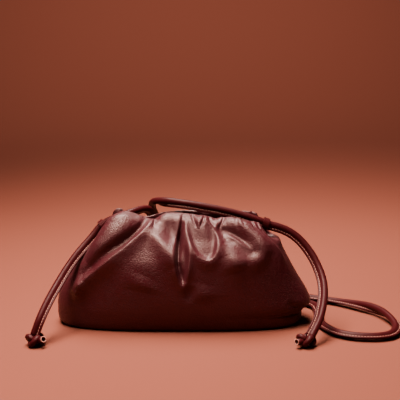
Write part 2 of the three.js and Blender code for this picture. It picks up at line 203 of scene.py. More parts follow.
def bumped(nodes, links, height, depth, under=None, strength=1.0, invert=False):
    """A relief of that depth in metres, laid over the relief under it."""
    bump = nodes.new("ShaderNodeBump")
    bump.invert = invert
    bump.inputs["Strength"].default_value = strength
    bump.inputs["Distance"].default_value = depth
    links.new(height, bump.inputs["Height"])
    if under:
        links.new(under, bump.inputs["Normal"])
    return bump.outputs["Normal"]


def creased(nodes, links, place, under, depth):
    creases = nodes.new("ShaderNodeTexNoise")
    creases.inputs["Scale"].default_value = CREASE_SCALE
    creases.inputs["Detail"].default_value = CREASE_DETAIL
    creases.inputs["Distortion"].default_value = CREASE_SWIRL
    links.new(place, creases.inputs["Vector"])
    return bumped(nodes, links, creases.outputs["Fac"], depth, under)


# %% [markdown]
# The five finishes differ only in numbers: the dark grained pouch, the smoother strap, the plain cover of
# the hidden bar, the pale raw edge where the strap is cut, and the light thread of its seam.

# %% Leather materials
HIGHLIGHT_TINT = (1, 0.64, 0.52, 1)
PEBBLE_SOFTNESS = 0.6
BLOTCH_SCALE = 45
BLOTCH_DETAIL = 3
PORE_SCALE = 2600
PORE_DETAIL = 2


# dark is the colour of the painted shade in the creases of the grain.
def leather(name, colour, dark, grain_mm, grain_depth, roughness, shine=0.35, sparkle=0.05, wrinkle=0.0):
    material = bpy.data.materials.new(name)
    material.use_nodes = True
    nodes, links = material.node_tree.nodes, material.node_tree.links
    shader = nodes["Principled BSDF"]
    shader.inputs["Specular IOR Level"].default_value = shine
    shader.inputs["Specular Tint"].default_value = HIGHLIGHT_TINT
    place = nodes.new("ShaderNodeTexCoord").outputs["Object"]
    pebbles = nodes.new("ShaderNodeTexVoronoi")
    pebbles.feature = "SMOOTH_F1"
    pebbles.inputs["Scale"].default_value = 1 / (grain_mm * MM)
    pebbles.inputs["Smoothness"].default_value = PEBBLE_SOFTNESS
    blotches = nodes.new("ShaderNodeTexNoise")
    blotches.inputs["Scale"].default_value = BLOTCH_SCALE
    blotches.inputs["Detail"].default_value = BLOTCH_DETAIL
    pores = nodes.new("ShaderNodeTexNoise")
    pores.inputs["Scale"].default_value = PORE_SCALE
    pores.inputs["Detail"].default_value = PORE_DETAIL
    for texture in (pebbles, blotches, pores):
        links.new(place, texture.inputs["Vector"])
    links.new(dyed_and_crease_shaded(nodes, links, pebbles, blotches, colour, dark), shader.inputs["Base Color"])
    gloss = polished(nodes, links, pebbles, blotches, roughness, sparkle)
    links.new(gloss, shader.inputs["Roughness"])
    relief = bumped(nodes, links, pores.outputs["Fac"], PORE_DEPTH * MM, strength=PORE_STRENGTH)
    relief = bumped(nodes, links, pebbles.outputs["Distance"], grain_depth * MM, relief, invert=True)
    if wrinkle:
        relief = creased(nodes, links, place, relief, wrinkle * MM)
    links.new(relief, shader.inputs["Normal"])
    print(name, "has grain of", grain_mm, "mm")
    return material


# The second colour of each finish is the painted shade for the creases of its grain.
POUCH_LEATHER = leather("pouch_leather", (0.04, 0.0034, 0.0056), (0.02, 0.0018, 0.0029),
                        grain_mm=1.15, grain_depth=0.28, roughness=0.48, shine=0.38, sparkle=0.16)
STRAP_LEATHER = leather("strap_leather", (0.034, 0.0028, 0.0036), (0.017, 0.0014, 0.0018),
                        grain_mm=0.9, grain_depth=0.07, roughness=0.41, shine=0.08, wrinkle=0.05)
FRAME_LEATHER = leather("frame_leather", (0.06, 0.009, 0.01), (0.03, 0.005, 0.005),
                        grain_mm=0.9, grain_depth=0.06, roughness=0.5)
RAW_EDGE = leather("raw_edge", (0.42, 0.16, 0.11), (0.2, 0.06, 0.045),
                   grain_mm=0.5, grain_depth=0.05, roughness=0.7)
THREAD = leather("thread", (0.34, 0.14, 0.1), (0.2, 0.08, 0.06),
                 grain_mm=0.35, grain_depth=0.04, roughness=0.6)

# %% [markdown]
# The strap is a cord: a strip of leather rolled round a core and sewn along one edge, which leaves a
# flat flange beside the round roll. It lies in three runs: a tail on each side, from its ring to its
# knot, and the long run over the mouth and down behind the bag. A simulated cord would fall where it
# likes. These runs keep to the few chosen points that the solids follow, in millimetres.

# %% Where the strap lies
LOOP_LENGTH = 6
CLEARANCE = 0.3
BODY_WIDTH = 256
RIM_HEIGHT = 113
LOOP_PLACE = {
    "left": np.array([-0.634 * BODY_WIDTH / 2, 0, 0.872 * RIM_HEIGHT]),
    "right": np.array([0.639 * BODY_WIDTH / 2, 0, 0.887 * RIM_HEIGHT]),
}
LOOP_WAY = {
    "left": unit(np.array([-0.77, -0.24, -0.59])),
    "right": unit(np.array([0.94, -0.02, -0.33])),
}
LEFT_TAIL_ROUTE = [
    (-90.2, -4.6, 89), (-97.5, -11, 81.1), (-105.2, -20, 72.8), (-112.5, -29.5, 63.2),
    (-115.7, -34.6, 58.6), (-118.5, -40, 54.1), (-123.7, -52, 45.4), (-126.1, -57.6, 41.2),
    (-128.3, -63, 37.1), (-132, -72, 29), (-135, -78, 21.5),
]
RIGHT_TAIL_ROUTE = [
    (96.4, -0.5, 95.8), (106.4, -1.5, 91.4), (114.5, -3.5, 85.6), (122, -7, 77.8),
    (128.5, -12.5, 68.8), (133.4, -20, 59), (136.2, -30, 49.9), (136.3, -41, 42.2),
    (134.8, -51, 35), (132, -61, 28.1), (128.4, -70, 21.2),
]
LONG_RUN_ROUTE = [
    (-61.5, 1.2, 107.4), (-53, 4, 110.4), (-40.4, 17.5, 111.6), (-35.8, 24, 108.8), (-29, 39, 95),
    (-14, 53.5, 68), (10, 59.5, 32), (25, 59.8, 17), (44, 58, 7.5), (90, 53, 4.3), (128, 47.5, 4.3),
    (137, 38, 4.3), (139.3, 24, 4.3), (137.2, -28, 4.3), (147.3, -54.5, 4.3), (157.5, -63.3, 4.3),
    (171, -67.6, 4.3), (187, -67.3, 4.3), (199, -60.6, 4.3), (209.4, -34.7, 4.8), (204.7, -6.5, 7.8),
    (192.5, 19, 8), (163, 51.5, 4.4), (134, 67, 4.3), (64, 76, 7), (42, 77, 15), (3, 73, 46),
    (-23.5, 59, 83), (-30.5, 49.5, 99), (-33, 31, 115.2), (-23, 14.5, 120.2), (-4, 5, 120),
    (22, 1, 116.4), (50, 0.5, 110.4),
]
KNOT_PLACE = {"left": np.array([-140, -82.5, 7.4]), "right": np.array([118, -86, 7.6])}
# The tail's visible end runs on into the knot, to this far from its middle.
KNOT_REACH = 2.5

# %% [markdown]
# The chosen points are joined by the same smooth curve as in the solids, so the dressed strap covers its
# solid all the way. Each run starts inside its ring, and each tail ends inside its knot.

# %% The strap's lines
CURVE_CUTS = 40


def curve_through(points, step):
    """Points a step apart on the same smooth curve through chosen points that the solids follow."""
    chosen = np.array(points, float)
    ends = [2 * chosen[0] - chosen[1], 2 * chosen[-1] - chosen[-2]]
    p = np.vstack([ends[0], chosen, ends[1]])
    found = []
    for i in range(1, len(p) - 2):
        steps = [p[j + 1] - p[j] for j in (i - 1, i, i + 1)]
        before, span, after = [max(np.linalg.norm(way) ** 0.5, 1e-6) for way in steps]
        leave = steps[0] / before - (steps[0] + steps[1]) / (before + span) + steps[1] / span
        reach = steps[1] / span - (steps[1] + steps[2]) / (span + after) + steps[2] / after
        t = np.linspace(0, 1, CURVE_CUTS, endpoint=False)[:, None]
        found.append((2 * t**3 - 3 * t**2 + 1) * p[i] + (t**3 - 2 * t**2 + t) * leave * span
                     + (3 * t**2 - 2 * t**3) * p[i + 1] + (t**3 - t**2) * reach * span)
    line = np.vstack([*found, chosen[-1:]])
    along = np.concatenate([[0], np.cumsum(np.linalg.norm(np.diff(line, axis=0), axis=1))])
    places = np.linspace(0, along[-1], round(along[-1] / step) + 1)
    return np.stack([np.interp(places, along, line[:, k]) for k in range(3)], axis=1)


def from_loop(name, way):
    steps = (CLEARANCE / 2, LOOP_LENGTH * 0.5, LOOP_LENGTH * 0.8)
    return [LOOP_PLACE[name] + LOOP_WAY[name] * way * s for s in steps]


def to_knot(name, last):
    back = unit(np.array(last, float) - KNOT_PLACE[name])
    return KNOT_PLACE[name] + back * KNOT_REACH


TAIL_ROUTES = {"left": LEFT_TAIL_ROUTE, "right": RIGHT_TAIL_ROUTE}
RUNS = {
    f"strap_tail_{name}": [*from_loop(name, 1), *route, to_knot(name, route[-1])]
    for name, route in TAIL_ROUTES.items()
}
RUNS["strap_long_run"] = [*from_loop("left", -1), *LONG_RUN_ROUTE, *from_loop("right", -1)[::-1]]
print("runs of the strap:", ", ".join(RUNS))

# %% [markdown]
# A flat lip shows every twist of a strap. Left alone, a swept section turns as its curve does. A short
# table says instead which way the lip points along each run, and the directions between are smoothed.

# %% The way the lip points
# Share of the run, then x, y and z of the direction.
LIP_WAYS = {
    "strap_tail_left": [
        (0, 0.5, -0.3, -0.8), (0.25, 0.8, -0.5, -0.4), (0.6, 0.85, -0.55, -0.3), (1, 0.85, -0.5, -0.2),
    ],
    "strap_tail_right": [
        (0, 0, -0.4, -0.9), (0.3, -0.6, -0.4, -0.7), (0.6, -0.9, -0.35, -0.4), (1, -0.9, -0.4, 0),
    ],
    "strap_long_run": [
        (0, 0, -0.4, -0.9), (0.022, 0, 0, -1), (0.04, 0, 0.5, -0.85), (0.055, -0.3, 0.6, -0.75),
        (0.065, -0.6, 0.3, -0.7), (0.081, -0.8, -0.1, -0.5), (0.116, -0.75, -0.35, -0.5),
        (0.161, -0.47, -0.75, -0.4), (0.204, -0.1, -1, 0), (0.253, -0.05, -1, 0), (0.291, -0.55, -0.8, 0),
        (0.303, -0.87, -0.5, 0), (0.32, -1, 0, 0), (0.373, -1, -0.1, 0), (0.401, -0.65, -0.75, 0),
        (0.415, -0.4, -0.9, 0), (0.446, 0.1, -1, 0), (0.46, 0.5, -0.85, 0), (0.489, 1, -0.1, 0),
        (0.505, 0.9, 0.2, -0.4), (0.53, 0.15, 0.1, -1), (0.56, -0.6, -0.5, -0.5), (0.593, -0.5, -0.85, 0),
        (0.625, -0.15, -1, 0), (0.7, 0, -1, 0), (0.76, 1, -0.2, 0), (0.82, 0.6, 0.8, 0.2),
        (0.85, 0.3, 0.9, 0.2), (0.868, 0.6, 0.6, -0.3), (0.888, 0.6, -0.2, -0.7), (0.91, 0, -0.5, -0.9),
        (1, 0, -0.4, -0.9),
    ],
}

# How often the directions along a run are smoothed.
LIP_SMOOTHING = 5


def lip_frames(line, ways):
    """At each point of a line: the way the lip points, and the way across it and the line."""
    along = unit(np.gradient(line, axis=0))
    share = np.linspace(0, 1, len(line))
    wanted = np.stack([between(ways, k, share) for k in (1, 2, 3)], axis=1)
    lip = unit(wanted - along * np.sum(wanted * along, axis=1, keepdims=True))
    for _ in range(LIP_SMOOTHING):
        lip[1:-1] = (lip[:-2] + 2 * lip[1:-1] + lip[2:]) / 4
        lip = unit(lip - along * np.sum(lip * along, axis=1, keepdims=True))
    return lip, np.cross(along, lip)


# %% [markdown]
# A round tube would miss the flange, so a section with a roll and a lip is swept along each line. The
# stitches pull the leather in a little where the roll ends and the lip begins.

# %% The strap's section
# Sizes in millimetres. Places on the section are measured out from its middle towards the lip's edge.
# The roll is round as far as ROLL_OPENS, in degrees from the way the lip points.
ROLL_RADIUS = 3.4
ROLL_BACK = 0.8
ROLL_OPENS = 30
ROLL_POINTS = 12
ROLL_END = 2.75
SEAM_GROOVE = 3.4
SEAM_PULL = 0.1
LIP_START = 4.3
LIP_REACH = 5.6
LIP_ROUND = 0.4
LIP_HALF = 0.8


def strap_section():
    """The outline, drawn as one half from the crown of the roll to the lip's edge, then mirrored."""
    turns = np.radians(np.linspace(180, ROLL_OPENS, ROLL_POINTS))
    roll = np.stack([ROLL_RADIUS * np.cos(turns) - ROLL_BACK, ROLL_RADIUS * np.sin(turns)], axis=1)
    seam = [(ROLL_END, LIP_HALF + SEAM_PULL), (SEAM_GROOVE, LIP_HALF - SEAM_PULL)]
    edge = [(LIP_START, LIP_HALF), (LIP_REACH - LIP_ROUND, LIP_HALF * 0.9), (LIP_REACH, LIP_HALF * 0.4)]
    half = np.vstack([roll, seam, edge])
    return np.vstack([half, (half * [1, -1])[:0:-1]])


# %% Sweep the strap
def face_outwards(piece):
    mesh = bmesh.new()
    mesh.from_mesh(piece.data)
    bmesh.ops.recalc_face_normals(mesh, faces=mesh.faces)
    mesh.to_mesh(piece.data)
    mesh.free()


def swept(name, line, lip, across, section, material):
    """A tube of that section along a line, its ends closed."""
    rows = line[:, None] + section[None, :, :1] * lip[:, None] + section[None, :, 1:] * across[:, None]
    count = len(section)
    points = np.vstack([rows.reshape(-1, 3), line[:1], line[-1:]]) * MM
    faces = grid_faces(len(line), count)
    first, last = len(points) - 2, len(points) - 1
    top = (len(line) - 1) * count
    faces += [(first, (c + 1) % count, c) for c in range(count)]
    faces += [(last, top + c, top + (c + 1) % count) for c in range(count)]
    piece = new_piece(name, points, faces, material)
    face_outwards(piece)
    return piece


STRAP_STEP = 2.0
section = strap_section()
run_lines = {}
straps = {}
for name, chosen in RUNS.items():
    line = curve_through(chosen, STRAP_STEP)
    lip, across = lip_frames(line, LIP_WAYS[name])
    run_lines[name] = (line, lip, across)
    straps[name] = swept(name.replace("strap", "rolled_strap"), line, lip, across, section, STRAP_LEATHER)
    print(name, "is", round(np.linalg.norm(np.diff(line, axis=0), axis=1).sum()), "mm long")

# %% [markdown]
# The pouch itself is a sheet of soft leather. Its plain form is worked out like the solid's: sections with
# a rounded flat base, a full belly and a narrow mouth. On the front the leather stays full up to a broad
# shoulder and then turns over to the rim, as the photograph's highlights show. The numbers are shares of
# the bag's few real sizes.

# %% Tables of the plain form
LEATHER_THICK = 1.6
SLOT_HALF_GAP = 6.4
PLEAT_ROOM = 0.9
BODY_DEPTH = 100
# Share of the rim's height, then how far the ends reach to the left and right, as shares of half the width.
ENDS = [
    (0, 0.94, 0.9), (0.035, 0.985, 0.935), (0.1, 1, 0.945), (0.125, 1, 0.925), (0.16, 1, 0.99),
    (0.2, 1, 1.015), (0.3, 0.98, 0.98), (0.42, 0.925, 0.915), (0.55, 0.845, 0.85), (0.68, 0.757, 0.79),
    (0.8, 0.682, 0.752), (0.9, 0.632, 0.7), (0.95, 0.62, 0.672), (1, 0.61, 0.655),
]
# Share of the rim's height, depth as a share of half the depth, and how square the rounding is.
FRONT_SWELL = [
    (0, 0.8, 3), (0.035, 0.87, 2.9), (0.1, 0.93, 2.7), (0.19, 0.975, 2.6), (0.3, 1, 2.5), (0.42, 1, 2.6),
    (0.55, 0.98, 2.8), (0.62, 0.94, 2.9), (0.68, 0.865, 3), (0.74, 0.765, 3.2), (0.8, 0.655, 3.4),
    (0.86, 0.565, 3.8), (0.92, 0.475, 4.6), (0.96, 0.405, 5.5), (0.985, 0.32, 6), (1, 0.22, 7),
]
BACK_SWELL = [
    (0, 0.85, 3), (0.035, 0.92, 2.9), (0.1, 0.96, 2.7), (0.19, 0.99, 2.6), (0.3, 0.985, 2.5),
    (0.42, 0.945, 2.4), (0.55, 0.855, 2.3), (0.68, 0.7, 2.3), (0.8, 0.49, 2.6), (0.9, 0.26, 3.8),
    (1, 0.18, 7),
]
# Place across the panel from -1 to 1, then the rim's height there as a share of the driving height.
FRONT_RIM = [
    (-1, 0.825), (-0.97, 0.88), (-0.93, 0.95), (-0.76, 1.015), (-0.57, 0.985), (-0.44, 0.96), (-0.36, 0.96),
    (-0.28, 0.98), (-0.2, 1.0), (0, 1.0), (0.4, 0.955), (0.9, 0.915), (0.945, 0.87), (1, 0.815),
]
BACK_RIM = [
    (-1, 0.825), (-0.97, 0.89), (-0.9, 0.99), (-0.79, 1.0), (-0.72, 0.945), (-0.6, 0.93), (-0.4, 0.94),
    (-0.25, 0.975), (0, 0.985), (0.5, 0.98), (0.9, 0.965), (0.945, 0.875), (1, 0.815),
]

# %% The plain form
# From this share of the way up, the rows bend towards the rim's own line.
SHAPED_RIM_FROM = 0.72
# The front rim dips in a narrow notch where the strap comes over it.
NOTCH_PLACE = -0.36
NOTCH_DEPTH = 0.03
NOTCH_WIDTH = 0.06
NOTCH_FROM = 0.86


def plain_form(side, across, up):
    """Points of the pouch before its folds. side is -1 on the front and 1 on the back."""
    half = BODY_WIDTH / 2 * np.where(across < 0, between(ENDS, 1, up), between(ENDS, 2, up))
    swell = FRONT_SWELL if side < 0 else BACK_SWELL
    deep = np.maximum(BODY_DEPTH / 2 * between(swell, 1, up), SLOT_HALF_GAP + PLEAT_ROOM + LEATHER_THICK)
    square = between(swell, 2, up)
    bulge = np.clip(1 - np.abs(across) ** square, 0, None) ** (1 / square)
    rim = between(FRONT_RIM if side < 0 else BACK_RIM, 1, across)
    height = RIM_HEIGHT * (up + (rim - 1) * smooth(SHAPED_RIM_FROM, 1, up))
    if side < 0:
        notch = NOTCH_DEPTH * np.exp(-(((across - NOTCH_PLACE) / NOTCH_WIDTH) ** 2))
        height = height - RIM_HEIGHT * notch * smooth(NOTCH_FROM, 1, up)
    return np.stack([half * across, side * deep * bulge, height], axis=-1)


def outward(side, across, up, step=0.004):
    """The direction square to the plain form, away from the inside of the bag."""
    left, right = np.maximum(-1, across - step), np.minimum(1, across + step)
    low, high = np.maximum(0, up - step), np.minimum(1, up + step)
    along = plain_form(side, right, up) - plain_form(side, left, up)
    rise = plain_form(side, across, high) - plain_form(side, across, low)
    return unit(np.cross(along, rise) * -side)


# %% [markdown]
# The gathers are laid on the plain form as folds. Each fold follows a path and pushes the leather out, or
# pulls it in, by a height that changes along the path. A different width on each side makes a pleat lean
# over, and a low sharpness number makes the crease in its middle keen. Cloth simulation would also gather
# leather, but it would put each pleat where it pleased. Drawn folds stay where they are wanted.
# A fold of the front is drawn where the photograph shows it, so its path is given in pixels across and
# down the photograph. The back isn't seen, so its fewer folds are placed straight on the pouch.

# %% Tables of folds
# Path in pixels, height along the path, width to its left and right, sharpness; the rest in millimetres.
FRONT_FOLDS = {
    "left_shoulder": ([(127, 213), (121, 222), (113, 234), (103, 247), (90, 265)],
        [0.5, 5, 8.5, 7.5, 2], 14, 15, 2.6),
    "left_valley": ([(146, 219), (142, 225.5), (134, 233), (122, 243), (110, 251), (98, 260),
         (88, 270), (81, 279)], [-1.5, -3, -4, -4.5, -5, -4.5, -2.5, 0], 3.6, 4.5, 1.9),
    "left_ridge": ([(158, 215), (153, 221.5), (147, 229), (140, 236.5), (128, 248), (115, 258.5),
         (102, 268), (92, 276), (84, 285)], [1, 3, 4.5, 5.5, 5.5, 5, 4.5, 4.5, 5], 3.4, 8, 1.8),
    "left_knee": ([(87, 279), (81, 285), (78, 290)], [2, 6, 6], 7, 7, 2),
    "middle_shoulder": ([(147, 232), (156, 239), (164, 248), (171, 258), (175.5, 268)],
        [1, 5, 6.5, 6, 1.5], 9, 9, 1.9),
    "middle_hollow": ([(169, 215), (171, 226), (173, 236), (175, 246)], [0, -2.6, -2.6, 0], 8, 7, 2),
    "slit": ([(183.8, 215), (182, 227), (179.7, 239), (179, 250), (179, 262), (180.5, 273), (182.6, 282)],
        [-1, -5, -9, -10, -9, -6, -1], 1.7, 2.7, 1.7),
    "slit_lip": ([(177, 238), (175.5, 250), (175.8, 263), (178, 275), (183.3, 288)],
        [0, 2, 3, 3, 1.5], 5, 1.6, 1.7),
    "tongue_right": ([(188.5, 244), (190.3, 254), (190, 265), (188.5, 275), (184.8, 288)],
        [0, 2, 3, 3, 1.5], 1.8, 4, 1.7),
    "tongue": ([(186, 236), (185, 252), (184.6, 266), (184.4, 280)], [0, -2.5, -3, -2], 3, 3, 2.2),
    "under_tongue": ([(192, 285), (190.5, 293), (189, 304)], [0, -2.5, 0], 6, 5, 2),
    "cup_rim": ([(186, 223), (188, 235), (191, 246), (196, 254.5), (203, 260), (209.5, 262),
         (214.5, 259.5), (218, 253.5), (219.3, 245), (218, 235), (213.5, 227), (207, 222)],
        [1, 3, 4.5, 4.5, 4, 3.8, 4, 4.5, 4.5, 4, 3, 1], 6.5, 3, 1.9),
    "cup": ([(203, 222), (206, 232), (208.5, 243), (209, 253)], [4, 3.2, 1.2, 0], 8, 8, 2),
    "cup_side": ([(213, 222), (222, 234), (225, 246)], [-1.5, -3, 0], 5, 5, 2),
    "right_ridge": ([(226, 219.5), (235, 222.5), (244, 228), (253, 235.5), (260, 243.5), (263.5, 251),
         (262, 257.5), (256, 262), (248, 263.5)], [2, 4.5, 6, 6, 6, 5.5, 4.5, 3.5, 1.5], 7.5, 8, 2.2),
    "right_valley": ([(222, 229), (230, 231.5), (240, 237), (249, 245)], [-1.5, -2.2, -2, -0.5], 3.5, 3, 2),
    "thin_ridge": ([(226, 234), (233, 238), (241, 243.5), (248, 248.5), (254, 254)],
        [0, 1.4, 1.6, 1.2, 0], 2.4, 2.6, 1.7),
    "right_lobe": ([(228, 244), (232, 254), (237, 264), (240, 272)], [1, 4, 5.5, 1.5], 10, 10, 2),
    "facet_left": ([(193, 215.5), (195.5, 223), (199, 231)], [-1.4, -1.8, 0], 1.3, 1.3, 1.8),
    "facet_middle": ([(205, 217.5), (203, 224), (199.5, 231)], [-1.4, -1.8, 0], 1.3, 1.3, 1.8),
    "facet_face": ([(199, 216), (199.4, 223), (199.5, 228)], [-1.2, 0.8, 1], 2.2, 2.2, 2),
    "facet_right": ([(210, 218), (213, 224), (217.5, 229)], [-1.4, -1.8, 0], 1.3, 1.3, 1.8),
    "facet_end": ([(224.5, 219.5), (222, 225), (218.5, 229)], [-1.4, -1.8, 0], 1.3, 1.3, 1.8),
    "facet_slope": ([(217, 218.5), (217.8, 223), (218.2, 227)], [-1.2, 0.8, 1], 3, 3, 2),
    "gusset_edge": ([(256, 230), (266, 238), (275, 246), (281, 253), (288, 262)],
        [1, 2.5, 3, 3, 1], 12, 3, 1.8),
    "belly_left": ([(146, 276), (142, 284), (140, 292)], [0, 2, 0], 14, 14, 2),
    "belly_right": ([(206, 284), (204, 294), (204, 304)], [0, 1.8, 0], 12, 12, 2),
    "corner_tuck": ([(304, 309), (297, 307), (289, 303)], [-5, -3, 0], 3, 3, 2),
}
# The same, with the path as places across and up the panel.
BACK_FOLDS = {
    "back_left_fold": ([(-0.75, 0.97), (-0.8, 0.8), (-0.84, 0.62)], [-2, -5, 0], 5, 7, 1.8),
    "back_left_valley": ([(-0.5, 0.95), (-0.55, 0.78), (-0.62, 0.55)], [-2, -6, 0], 6, 5, 1.8),
    "back_left_ridge": ([(-0.36, 0.95), (-0.42, 0.8), (-0.5, 0.6), (-0.55, 0.45)], [2, 4, 3, 0], 6, 9, 1.8),
    "back_slit": ([(-0.12, 0.97), (-0.1, 0.8), (-0.12, 0.62), (-0.08, 0.5)], [-2, -6, -5, 0], 3, 5, 1.7),
    "back_middle_ridge": ([(0.05, 0.97), (0.08, 0.8), (0.06, 0.6)], [2, 4, 0], 5, 7, 1.8),
    "back_middle_valley": ([(0.25, 0.96), (0.3, 0.8), (0.3, 0.66)], [-2, -4.5, 0], 4, 4, 1.8),
    "back_right_ridge": ([(0.4, 0.96), (0.5, 0.8), (0.56, 0.62)], [2, 4, 0], 5, 6, 1.8),
    "back_right_valley": ([(0.6, 0.96), (0.68, 0.8), (0.74, 0.6)], [-2, -5, 0], 5, 4, 1.8),
}
print("folds:", len(FRONT_FOLDS), "in front and", len(BACK_FOLDS), "behind")

# %% [markdown]
# The camera made above says which pixel each place on the plain front falls on. The place under a pixel is
# then the nearest one of a fine net of such places. A ray could be shot from the camera instead, but that
# needs a mesh first, and the net is quick.

# %% From pixels to places
PHOTO_PIXELS = 400
PHOTO_FOCUS = LENS / SENSOR * PHOTO_PIXELS
CAMERA_UP = np.array([0, math.sin(CAMERA_ELEVATION), math.cos(CAMERA_ELEVATION)])
NET_ACROSS = 801
NET_UP = 601


def in_photo(points):
    """The pixel at which the camera sees each point."""
    away = points * MM - np.array(camera.location)
    depth = -away @ np.array(towards_camera)
    across = PHOTO_PIXELS / 2 + PHOTO_FOCUS * away[..., 0] / depth
    down = PHOTO_PIXELS / 2 - PHOTO_FOCUS * (away @ CAMERA_UP) / depth
    return np.stack([across, down], axis=-1)


FRONT_PLACES = np.stack(np.meshgrid(np.linspace(-1, 1, NET_ACROSS), np.linspace(0, 1, NET_UP)), axis=-1)
FRONT_SEEN = in_photo(plain_form(-1, FRONT_PLACES[..., 0], FRONT_PLACES[..., 1]))


def under_pixels(pixels):
    """The places across and up the plain front that lie under pixels of the photograph."""
    nearest = [np.argmin(np.sum((FRONT_SEEN - pixel) ** 2, axis=-1)) for pixel in pixels]
    return FRONT_PLACES.reshape(-1, 2)[nearest]


folds = {
    -1: [(under_pixels(path), *shape) for path, *shape in FRONT_FOLDS.values()],
    1: [(np.array(path), *shape) for path, *shape in BACK_FOLDS.values()],
}

# %% [markdown]
# A fold acts on every point of the pouch by the point's distance from the fold's line: fully on the line,
# and less and less beside it. The side of the line tells which of the two widths counts.

# %% The push of a fold
# A path is drawn in steps of this share of a panel.
FOLD_STEP = 0.03


def fold_push(points, normals, fold, side):
    """How far one fold moves each of the points along its normal."""
    path, heights, left, right, sharp = fold
    chosen = np.column_stack([path, np.zeros(len(path))])
    drawn = curve_through(chosen, FOLD_STEP)
    line = plain_form(side, drawn[:, 0], drawn[:, 1])
    best = np.full(len(points), np.inf)
    share = np.zeros(len(points))
    turn = np.zeros(len(points))
    for i in range(len(line) - 1):
        start, way = line[i], line[i + 1] - line[i]
        t = np.clip((points - start) @ way / max(way @ way, 1e-9), 0, 1)
        off = points - start - t[:, None] * way
        far = np.linalg.norm(off, axis=1)
        near = far < best
        best[near] = far[near]
        share[near] = (i + t[near]) / (len(line) - 1)
        turn[near] = np.sum(np.cross(way, off[near]) * normals[near], axis=1)
    stops = np.concatenate([[0], np.cumsum(np.linalg.norm(np.diff(chosen, axis=0), axis=1))])
    table = list(zip(stops / stops[-1], heights))
    width = np.where(turn > 0, right, left)
    return between(table, 1, share) * np.exp(-((best / width) ** sharp))


# %% [markdown]
# Rows of points run round the pouch from the floor to the rim, close enough together to carry creases of
# a millimetre. The front, which is seen, gets twice the columns of the back, and both get more of them
# towards the ends, where the leather turns.

# %% Rows and columns
FRONT_COLUMNS = 300
BACK_COLUMNS = 150
WALL_ROWS = 170
END_CROWDING = 0.7
ROW_CROWDING = 0.85


def crowded(places):
    return places + END_CROWDING * (np.sin(math.pi / 2 * places) - places)


front_across = crowded(np.linspace(-1, 1, FRONT_COLUMNS, endpoint=False))
back_across = crowded(np.linspace(1, -1, BACK_COLUMNS, endpoint=False))
up_grid = np.linspace(0, 1, WALL_ROWS)[:, None] ** ROW_CROWDING

# %% [markdown]
# Between the large folds the leather is drawn up in small close gathers just under the rim. There are too
# many to draw one by one and they are much alike, so two waves of different lengths make them, and a slow
# drift keeps them from looking ruled.

# %% Small gathers
# The waves' turns are in radians from the middle of a panel to its end, the gathers in millimetres.
GATHER_TURN = 61
FINE_GATHER_TURN = 97
FINE_GATHER_SHARE = 0.6
DRIFT_TURN = 9
DRIFT = 1.3
BACK_GATHER = 0.5
BACK_END_GATHER = 0.9
BACK_ENDS = (0.6, 0.8)
FRONT_RIGHT_GATHER = 0.35
FRONT_RIGHT = (0.35, 0.6)
FRONT_RIGHT_END = (1, 0.9)
# From the first of these shares of the way up the gathers grow, and from the second they calm a little.
GATHERS_FROM = 0.86
GATHERS_FULL = 0.97
RIM_CALM = 0.4


def rim_gathers(side, across, up):
    drift = DRIFT * np.sin(across * DRIFT_TURN + side)
    fine = FINE_GATHER_SHARE * np.sin(across * FINE_GATHER_TURN + 2 + side)
    wave = np.sin(across * GATHER_TURN + drift) + fine
    if side > 0:
        strength = BACK_GATHER + BACK_END_GATHER * smooth(*BACK_ENDS, np.abs(across))
    else:
        strength = FRONT_RIGHT_GATHER * smooth(*FRONT_RIGHT, across) * smooth(*FRONT_RIGHT_END, across)
    calm = 1 - RIM_CALM * smooth(GATHERS_FULL, 1, up)
    return strength * wave * smooth(GATHERS_FROM, GATHERS_FULL, up) * calm


# %% [markdown]
# All folds together push each point along the plain form's direction outwards. They fade out at the floor,
# where the base is flat, and at the two ends, where the panels meet. No push may bring the leather into
# the slot of the hidden bar, so near the slot it is eased to a stop.

# %% Lay the folds on
BASE_CALM_TO = 0.1
ENDS_CALM_FROM = 0.93
SLOT_SQUARE = 7
SLOT_EASE = 2


def folded(side, across, up):
    points = plain_form(side, across, up).reshape(-1, 3)
    normals = outward(side, across, up).reshape(-1, 3)
    push = np.zeros(len(points))
    for fold in folds[side]:
        push += fold_push(points, normals, fold, side)
    flat_across, flat_up = np.broadcast_arrays(across, up)
    push = push * smooth(1, ENDS_CALM_FROM, np.abs(flat_across)).ravel()
    push += rim_gathers(side, flat_across, flat_up).ravel()
    push *= smooth(0, BASE_CALM_TO, flat_up).ravel()
    points += normals * push[:, None]
    slot = np.clip(1 - np.abs(flat_across.ravel()) ** SLOT_SQUARE, 0, None) ** (1 / SLOT_SQUARE)
    least = (SLOT_HALF_GAP + LEATHER_THICK) * slot
    over = side * points[:, 1] - least
    eased = SLOT_EASE * np.exp(np.minimum(over - SLOT_EASE, 0) / SLOT_EASE)
    points[:, 1] = side * (least + np.where(over > SLOT_EASE, over, eased))
    return points.reshape(*flat_across.shape, 3)


front = folded(-1, front_across[None], up_grid)
back = folded(1, back_across[None], up_grid)
outer = np.concatenate([front, back], axis=1)
low, high = [np.array(corner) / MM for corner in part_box("pouch_body")]
wide = outer[..., 0].min(), outer[..., 0].max()
outer[..., 0] = low[0] + (outer[..., 0] - wide[0]) * (high[0] - low[0]) / (wide[1] - wide[0])
outer[0, :, 2] = 0
columns = outer.shape[1]
print("outer face:", WALL_ROWS, "rows of", columns, "points")

# %% [markdown]
# A single sheet would look like paper at the mouth. The same columns therefore go down again on the inner
# face, so the leather has its real thickness. The rim between them is rounded, as a turned edge is, and
# rings close the base.

# %% Build the leather
INNER_ROWS = 16
RIM_CROWN = 0.5
# Sizes of the rings of the base, as shares of its outline.
BASE_RINGS = (0.2, 0.45, 0.7, 0.88)

